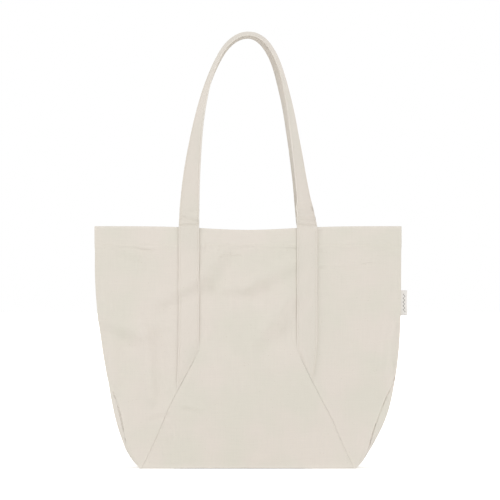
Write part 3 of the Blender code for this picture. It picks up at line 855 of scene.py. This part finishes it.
# Creases across the straps where they bend at the mouth: side, height above the mouth,
# how they lean towards the middle, half their width, and depth.
STRAP_CREASES = {
    "front": (
        (-1, 0.0032, 0.06, 0.0014, 0.0019),
        (-1, 0.0110, -0.30, 0.0026, 0.0022),
        (-1, 0.0210, 0.20, 0.0032, 0.0010),
        (1, 0.0032, 0.04, 0.0018, 0.0018),
        (1, 0.0125, 0.06, 0.0028, 0.0023),
        (1, 0.0270, 0.10, 0.0062, 0.0030),
    ),
    "back": (
        (-1, 0.0060, 0.10, 0.0028, 0.0010),
        (1, 0.0060, 0.00, 0.0024, 0.0008),
        (1, 0.0140, -0.20, 0.0032, 0.0009),
    ),
}

# The same canvas folded in four and pressed: its weave lies flatter, and it is a touch darker.
strap_canvas = woven_cotton(
    "folded_cotton_canvas", "#E1D9CF", "#DDD7CC", "#EAE4DC", 1.25, 0.90, depth_mm=0.03
)


def slant_height(along):
    """Height of the slanting seam at a distance from the middle of the face."""
    return SLANT_TOP * (SLANT_FOOT - along) / (SLANT_FOOT - STRAP_INNER)


def sampled(at, length, values):
    """Points or directions of a run, read at distances along it."""
    return np.stack([np.interp(at, length, values[:, axis]) for axis in range(3)], -1)


def strap_arch(face):
    """A handle's middle line above the mouth, with its width and outward directions."""
    angle = np.linspace(0, math.pi, 3001)
    side = np.where(angle < math.pi / 2, -1.0, 1.0)
    power = 2 / by_side(side, ARCH_POWER[face])
    rise = np.clip(np.sin(angle), 0, 1) ** power
    along = np.abs(np.cos(angle)) ** power * STRAP_CENTRE
    along -= by_side(side, LEG_DRAW[face]) * np.sin(math.pi * rise)
    foot = face_points(face, side * STRAP_CENTRE, MOUTH_HEIGHT + 0 * side, 0.0, CLEARANCE)
    foot_depth = np.abs(foot[:, 1]) + STRAP_THICKNESS / 2
    deep = CROWN_DEPTH + (foot_depth - CROWN_DEPTH) * (1 - rise) ** LEAN_POWER
    up = MOUTH_HEIGHT + HANDLE_START + rise * HANDLE_RISE[face]
    line = np.stack((side * along, FACES[face] * deep, up), -1)
    length = arc(line, 0)
    close = np.arange(0, FINE_ROWS, 0.001)
    even = np.linspace(FINE_ROWS, length[-1] - FINE_ROWS, 205)
    even = np.concatenate((close, even, length[-1] - close[::-1]))
    line = sampled(even, length, line)
    side = np.where(line[:, 0] < 0, -1.0, 1.0)
    tangent = np.gradient(line, even, axis=0)
    upright = np.stack((0 * side, 0 * side, -side), -1)
    free = ease(line[:, 2] - MOUTH_HEIGHT, 0.0, BEND_ABOVE)[:, None]
    tangent = upright + (tangent - upright) * free
    tangent /= np.linalg.norm(tangent, axis=-1, keepdims=True)
    forward = np.array((0.0, FACES[face], 0.0)) + 0 * tangent
    forward -= tangent * (forward * tangent).sum(-1, keepdims=True)
    forward /= np.linalg.norm(forward, axis=-1, keepdims=True)
    outward = np.cross(tangent, forward) * FACES[face]
    near, far = (
        wall_depth(side * (STRAP_CENTRE + edge * STRAP_WIDTH / 2), MOUTH_HEIGHT)
        for edge in (-1, 1)
    )
    start = np.arctan2(near - far, STRAP_WIDTH)
    rise = np.clip((line[:, 2] - MOUTH_HEIGHT) / HANDLE_RISE[face] / FLAT_CROWN, 0, 1)
    quick = by_side(side, QUICK_TWIST[face])
    twist = 1 - (1 - rise) ** by_side(side, TWIST_POWER[face])
    twist = quick * (1 - np.exp(-rise / QUICK_REACH)) + (1 - quick) * twist * (1 - quick * (1 - rise))
    turn = (start + (CROWN_TURN[face] - start) * twist)[:, None]
    width = forward * np.sin(turn) - outward * np.cos(turn)
    thick = forward * np.cos(turn) + outward * np.sin(turn)
    return line, width, thick


def strap_section():
    """A strap's outline as (across, through): soft edges and a dip along each row of thread."""
    half, row = STRAP_WIDTH / 2, STRAP_WIDTH / 2 - STITCH_INSET
    across = np.array((0.0 * row, 0.4 * row, 0.7 * row, row - 0.0012, row - 0.0006, row))
    across = np.concatenate((across, (row + 0.0006, row + 0.0012)))
    dip = THREAD_DIP[0] * fade(across - row, THREAD_DIP[1])
    swell = 0.00010 * np.cos(across / row * math.pi / 2) ** 2
    through = STRAP_THICKNESS / 2 - 0.0001 - dip + swell
    bend = np.linspace(math.pi / 2, 0, 5)
    across = np.concatenate((across, half - EDGE_RADIUS + EDGE_RADIUS * np.cos(bend)))
    through = np.concatenate((through, STRAP_THICKNESS / 2 * 0.92 * np.sin(bend)))
    quarter = np.stack((across, through), -1)
    lower = quarter[-2::-1] * (1, -1)
    right = np.concatenate((quarter, lower))
    left = right[-2:0:-1] * (-1, 1)
    return np.concatenate((right, left, right[:1]))


def tail_points(face, side, across, through, up):
    """Points of a sewn strap: across from its middle, through its thickness, up from its foot.

    The last of it is pressed thin, where it runs into the slanting seam."""
    along = STRAP_CENTRE - across
    height = slant_height(along) + (MOUTH_HEIGHT - slant_height(along)) * up
    outer = np.clip(-across / (STRAP_WIDTH / 2), 0, 1) * by_side(side, FOOT_NARROWING[face])
    along = along - outer * (1 - ease(height, 0.112, 0.200))
    foot = slant_height(along) + CLEARANCE
    height = foot + (MOUTH_HEIGHT - CLEARANCE - foot) * up
    grown = ease(height - foot, 0, FOOT_TAPER)
    pressed = (0.12 + 0.88 * grown) * (PRESSED + (1 - PRESSED) * ease(height, 0.325, MOUTH_HEIGHT))
    lift = CLEARANCE * (0.3 + 0.7 * grown) + (STRAP_THICKNESS / 2 + through) * pressed
    return face_points(face, side * along, height, 0.0, lift)


def strap_points(face, section):
    """Rows of points round a whole strap, from its left foot over the crown to its right."""
    across, through = section[None, :, 0], section[None, :, 1]
    line, width, thick = strap_arch(face)
    up = TAIL_ROWS[:, None]
    rounded = np.sqrt(np.clip(1 - (1 - np.clip(up / 0.008, 0, 1)) ** 2, 0.02, 1))
    tails = [
        tail_points(face, side, across + 0 * up, through * rounded, up)
        for side in SIDES.values()
    ]
    above = line[:, 2:] - MOUTH_HEIGHT
    crinkle = ripple(line, 34.0, 5)[:, None] * 0.0006 * ease(above, 0.004, 0.050)
    for side, rise, lean, reach, depth in STRAP_CREASES[face]:
        beside = above - rise - lean * across
        groove = depth * fade(beside, reach) * ease(above, 0, 0.003)
        crinkle = crinkle - groove * (side * line[:, :1] > 0)
    tilt = ripple(line, 21.0, 8) * 0.035 * ease(line[:, 2], 0.355, 0.42)
    tilted = thick + width * tilt[:, None]
    arch = (
        line[:, None]
        + width[:, None] * across[..., None]
        + tilted[:, None] * (through + crinkle)[..., None]
    )
    return np.concatenate((tails[0], arch, tails[1][::-1]))


for face, sign in FACES.items():
    points = strap_points(face, strap_section())
    flat = np.stack((arc(points, 1), arc(points, 0)), -1)
    edges = np.abs(strap_section()[:, 0]) > STRAP_WIDTH / 2 - 0.001
    piece = lay_cloth(
        f"{face}_strap", points, flat, 0.8 * edges[None, :], strap_canvas, 0, closed=True
    )
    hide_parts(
        f"{face}_handle", f"{face}_left_strap_tail", f"{face}_right_strap_tail"
    )
    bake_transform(piece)


# Stitching
# Cotton thread in a lockstitch, about 3 mm long: round the sewn straps, along both
# edges of the handles on both sides, round the hem and down the slanting seams.
STITCH_PITCH = 0.0033
STITCH_LENGTH = 0.0027
THREAD_RADIUS = 0.00033
THREAD_SINK = 0.0003
SLANT_STITCH_FOOT = 0.007
CREASE_GAP = 0.004

# Three-ply cotton thread: a little darker and glossier than the cloth. A ply turns up
# every 0.7 mm or so.
cotton_thread, tree, shader = new_material("cotton_sewing_thread")
place = add_node(tree, "TexCoord").outputs["Object"]
plies = add_node(
    tree, "TexWave", {"Vector": place, "Scale": 900.0, "Distortion": 1.5}, bands_direction="DIAGONAL"
)
tint = add_node(
    tree,
    "Mix",
    {"Factor": plies.outputs["Fac"], 6: srgb("#DBD3C6"), 7: srgb("#E5DED2")},
    data_type="RGBA",
)
tree.links.new(tint.outputs[2], shader.inputs["Base Color"])
bump = add_node(
    tree, "Bump", {"Strength": 0.4, "Distance": 0.0001, "Height": plies.outputs["Fac"]}
)
tree.links.new(bump.outputs[0], shader.inputs["Normal"])
shader.inputs["Roughness"].default_value = 0.72
shader.inputs["Sheen Weight"].default_value = 0.1


bead = bmesh.new()
bmesh.ops.create_uvsphere(bead, u_segments=6, v_segments=5, radius=1)
for face in bead.faces:
    face.smooth = True
one_stitch = finished_mesh("one_stitch", bead)


def sew(name, runs):
    """Stitches along runs of points; each run has the points and their directions off the cloth."""
    seam = bmesh.new()
    for line, off in runs:
        length = arc(line, 0)
        count = int((length[-1] - STITCH_LENGTH) / STITCH_PITCH)
        spots = STITCH_LENGTH / 2 + np.arange(count + 1) * STITCH_PITCH
        spots = spots + (length[-1] - STITCH_LENGTH / 2 - spots[-1]) / 2
        ways = sampled(spots + 1e-4, length, line) - sampled(spots - 1e-4, length, line)
        lifts = sampled(spots, length, off)
        for centre, way, up in zip(sampled(spots, length, line), ways, lifts):
            way = Vector(way).normalized()
            up = Vector(up)
            up = (up - way * up.dot(way)).normalized()
            beside = up.cross(way)
            turned = Matrix((beside, up, way)).transposed().to_4x4()
            size = Matrix.Diagonal((THREAD_RADIUS, THREAD_RADIUS * 0.8, STITCH_LENGTH / 2, 1))
            stitch = one_stitch.copy()
            stitch.transform(Matrix.Translation(centre) @ turned @ size)
            seam.from_mesh(stitch)
            bpy.data.meshes.remove(stitch)
    data = finished_mesh(name, seam)
    data.materials.append(cotton_thread)
    piece = put_in_scene(name, data)
    return piece


def on_cloth(face, along, height, lift=-0.0001):
    """A run of thread on a face, with the way off the cloth at each point."""
    line = face_points(face, along, height, 0.0, lift)
    off = face_points(face, along, height, 0.0, lift + 0.001) - line
    return line, off


def on_tail(face, side, across, up):
    """A run of thread on a sewn strap."""
    top = STRAP_THICKNESS / 2 - THREAD_SINK
    line = tail_points(face, side, across, top, up)
    return line, tail_points(face, side, across, top + 0.001, up) - line


row = STRAP_WIDTH / 2 - STITCH_INSET
for face in FACES:
    level = HEM_LINE + STITCH_INSET
    near = STRAP_INNER - CLEARANCE
    far = STRAP_INNER + STRAP_WIDTH + CLEARANCE
    ends = [float(crease(np.array(level), side)[0]) - CREASE_GAP for side in SIDES.values()]
    hems = {"left": (-ends[0], -far), "centre": (-near, near), "right": (far, ends[1])}
    for name, (first, last) in hems.items():
        along = np.linspace(first, last, 60)
        piece = sew(f"{face}_{name}_hem_stitches", [on_cloth(face, along, level + 0 * along)])
        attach(piece, "bag")
        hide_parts(f"{face}_{name}_hem_stitching")

    for side_name, side in SIDES.items():
        top = float(slant_height(STRAP_CENTRE + STRAP_WIDTH / 2)) - STITCH_INSET
        height = np.linspace(SLANT_STITCH_FOOT, top, 60)
        along = side * (seam_along(height) - STITCH_INSET)
        piece = sew(f"{face}_{side_name}_slant_stitches", [on_cloth(face, along, height)])
        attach(piece, "bag")
        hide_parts(f"{face}_{side_name}_slant_stitching")

        slope = math.hypot(1, SLANT_TOP / (SLANT_FOOT - STRAP_INNER))
        length = MOUTH_HEIGHT - float(slant_height(STRAP_CENTRE))
        low, high = STITCH_INSET * slope / length, 1 - STITCH_INSET / length
        up = np.linspace(low, high, 50)
        over = np.linspace(-row, row, 20)
        runs = [on_tail(face, side, row + 0 * up, up), on_tail(face, side, -row + 0 * up, up)]
        runs += [on_tail(face, side, over, end + 0 * over) for end in (low, high)]
        piece = sew(f"{face}_{side_name}_strap_stitches", runs)
        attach(piece, "bag")
        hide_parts(f"{face}_{side_name}_strap_stitching")

    for edge, across in (("front", row), ("rear", -row)):
        for layer, through in (("upper", 1), ("under", -1)):
            spot = (across, through * (STRAP_THICKNESS / 2 - THREAD_SINK))
            section = np.array((spot, (across, spot[1] + through * 0.001)))
            points = strap_points(face, section)[len(TAIL_ROWS):-len(TAIL_ROWS)]
            piece = sew(
                f"{face}_handle_{edge}_{layer}_stitches",
                [(points[:, 0], points[:, 1] - points[:, 0])],
            )
            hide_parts(f"{face}_handle_{edge}_{layer}_stitching")
            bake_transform(piece)


# Side label
# A pale woven ribbon folded double and caught in the right side seam. Where the
# real one has its maker's words it has a plain zigzag, woven in dark thread.
LABEL_HEIGHT = 0.037
LABEL_LENGTH = 0.008
LABEL_MIDDLE = 0.241
LABEL_PLY = 0.00032
LABEL_GAP = 0.00028
LABEL_COLUMNS = 13

# Damask woven polyester ribbon: slightly shiny, off-white with dark threads. Its ribs are
# 0.75 mm apart, coarser than real ones, so that they show.
woven_ribbon, tree, shader = new_material("damask_woven_ribbon")
cut = add_node(tree, "UVMap", uv_map="cut").outputs["UV"]
split = add_node(tree, "SeparateXYZ", {0: cut})
across, along = split.outputs["X"], split.outputs["Y"]
swing = add_node(tree, "Math", {0: along, 1: 0.0028}, operation="PINGPONG").outputs[0]
offset = add_node(tree, "Math", {0: swing, 1: across}, operation="ADD").outputs[0]
offset = add_node(tree, "Math", {0: offset, 1: -0.0029}, operation="SUBTRACT").outputs[0]
offset = add_node(tree, "Math", {0: offset}, operation="ABSOLUTE").outputs[0]
line = add_node(
    tree,
    "MapRange",
    {"Value": offset, "From Min": 0.00030, "From Max": 0.00045, "To Min": 1.0, "To Max": 0.0},
)
inside = add_node(
    tree, "MapRange", {"Value": along, "From Min": 0.0050, "From Max": 0.0052}
)
above = add_node(
    tree,
    "MapRange",
    {"Value": along, "From Min": 0.0318, "From Max": 0.0320, "To Min": 1.0, "To Max": 0.0},
)
mark = add_node(tree, "Math", {0: line.outputs[0], 1: inside.outputs[0]}, operation="MULTIPLY")
mark = add_node(tree, "Math", {0: mark.outputs[0], 1: above.outputs[0]}, operation="MULTIPLY")
ribs = add_node(
    tree, "TexWave", {"Vector": cut, "Scale": 420.0, "Distortion": 0.6}, bands_direction="Y"
)
pale = add_node(
    tree,
    "Mix",
    {"Factor": ribs.outputs["Fac"], 6: srgb("#E4E0DA"), 7: srgb("#F1EEEA")},
    data_type="RGBA",
)
woven = add_node(
    tree, "Mix", {"Factor": mark.outputs[0], 6: pale.outputs[2], 7: srgb("#3A3836")}, data_type="RGBA"
)
tree.links.new(woven.outputs[2], shader.inputs["Base Color"])
bump = add_node(
    tree, "Bump", {"Strength": 0.4, "Distance": 0.0001, "Height": ribs.outputs["Fac"]}
)
tree.links.new(bump.outputs[0], shader.inputs["Normal"])
shader.inputs["Roughness"].default_value = 0.6
shader.inputs["Sheen Weight"].default_value = 0.15

seam = float(max(half_width(LABEL_MIDDLE + end * LABEL_HEIGHT / 2, 1) for end in (-1, 1)))
root, fold = seam - 0.0015, seam + LABEL_LENGTH - 0.0002
half_gap = (LABEL_GAP + LABEL_PLY) / 2
bend = np.linspace(-math.pi / 2, math.pi / 2, 9)
straight = np.linspace(root, fold - half_gap, LABEL_COLUMNS + 1)[:-1]
along = np.concatenate((straight, fold - half_gap + half_gap * np.cos(bend), straight[::-1]))
ply = np.full(LABEL_COLUMNS, half_gap)
deep = np.concatenate((-ply, half_gap * np.sin(bend), ply))
up = np.linspace(LABEL_MIDDLE - LABEL_HEIGHT / 2, LABEL_MIDDLE + LABEL_HEIGHT / 2, 45)[:, None]
out = np.clip((along - seam) / LABEL_LENGTH, 0, 1)[None, :]
wave = 0.0007 * np.sin((up - LABEL_MIDDLE) / 0.0075 + 0.6) * out**1.5
points = np.stack(
    np.broadcast_arrays(
        along[None, :] - 0.0004 * out * np.cos((up - LABEL_MIDDLE) / 0.006),
        deep[None, :] + wave,
        up,
    ),
    -1,
)
middle = LABEL_COLUMNS + len(bend) // 2
run = arc(points, 1)
flat_across = np.abs(run - run[:, middle:middle + 1])
flat = np.stack((-flat_across, arc(points, 0)), -1)
label = lay_cloth(
    "side_label_ribbon", points, flat, np.zeros(points.shape[:2]), woven_ribbon, 0
)
wall = label.modifiers.new("thickness", "SOLIDIFY")
wall.thickness = LABEL_PLY
wall.offset = 0
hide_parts("side_label")
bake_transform(label)


# Floor, backdrop and light
# The photograph has a plain white ground and soft, even light, a little stronger
# from the left. The floor keeps the bag's shadow and fades into the white backdrop.
FLOOR_RADIUS = 30.0


def seen_rays(tree):
    """1 for what the camera sees, also in a reflection or through something, and else 0."""
    rays = add_node(tree, "LightPath")
    seen = add_node(
        tree,
        "Math",
        {0: rays.outputs["Is Camera Ray"], 1: rays.outputs["Is Glossy Ray"]},
        operation="MAXIMUM",
    )
    seen = add_node(
        tree, "Math", {0: seen.outputs[0], 1: rays.outputs["Is Transmission Ray"]}, operation="MAXIMUM"
    )
    return seen.outputs[0]


# Matt white studio paint. What the camera sees of it glows as well, three times as much
# 4 m from the bag as beside it, so that the floor fades into the white backdrop. To all
# other light it glows faintly too: painted light, which lights the bag from below.
floor_paint, tree, shader = new_material("glowing_white_studio_paint")
shader.inputs["Base Color"].default_value = srgb("#F2F2F2")
shader.inputs["Roughness"].default_value = 0.9
shader.inputs["Specular IOR Level"].default_value = 0.1
seen = seen_rays(tree)
place = add_node(tree, "TexCoord").outputs["Object"]
away = add_node(tree, "VectorMath", {0: place}, operation="LENGTH").outputs["Value"]
pale = add_node(
    tree, "MapRange", {"Value": away, "From Max": 4.0, "To Min": 0.30, "To Max": 0.90}
)
# The faint 0.06 glow for every other ray is painted light: the floor lights the bag like a lamp.
glow = add_node(tree, "Mix", {"Factor": seen, 2: 0.06, 3: pale.outputs[0]})
lit = add_node(tree, "Emission", {"Color": (1, 1, 1, 1), "Strength": glow.outputs[0]})
both = add_node(tree, "AddShader", {0: shader.outputs[0], 1: lit.outputs[0]})
tree.links.new(both.outputs[0], tree.nodes["Material Output"].inputs["Surface"])

floor = bmesh.new()
bmesh.ops.create_circle(floor, cap_ends=True, segments=96, radius=FLOOR_RADIUS)
data = finished_mesh("studio_floor", floor)
data.materials.append(floor_paint)
studio_floor = put_in_scene("studio_floor", data)

world = bpy.data.worlds.new("studio")
world.use_nodes = True
bpy.context.scene.world = world
tree = world.node_tree
seen = seen_rays(tree)
strength = add_node(
    tree, "MapRange", {"Value": seen, "To Min": 0.706, "To Max": 1.0}
)
sky = tree.nodes["Background"]
sky.inputs["Color"].default_value = (1, 1, 1, 1)
tree.links.new(strength.outputs[0], sky.inputs["Strength"])


def soft_light(name, place, aim, size, power):
    """A large square lamp that faces the point it is aimed at."""
    lamp = bpy.data.lights.new(name, "AREA")
    lamp.shape = "SQUARE"
    lamp.size = size
    lamp.energy = power
    holder = put_in_scene(name, lamp)
    holder.location = place
    holder.rotation_euler = (Vector(aim) - Vector(place)).to_track_quat("-Z", "Y").to_euler()


soft_light("key_light", (-5.9, -2.2, 3.4), (0, 0, 0.25), 2.8, 117)
soft_light("fill_light", (4.7, -4.2, 2.1), (0, 0, 0.30), 3.6, 99)
soft_light("rear_light", (1.2, 5.2, 4.6), (0, 0, 0.3), 3.6, 72)

bpy.context.scene.view_settings.view_transform = "Standard"
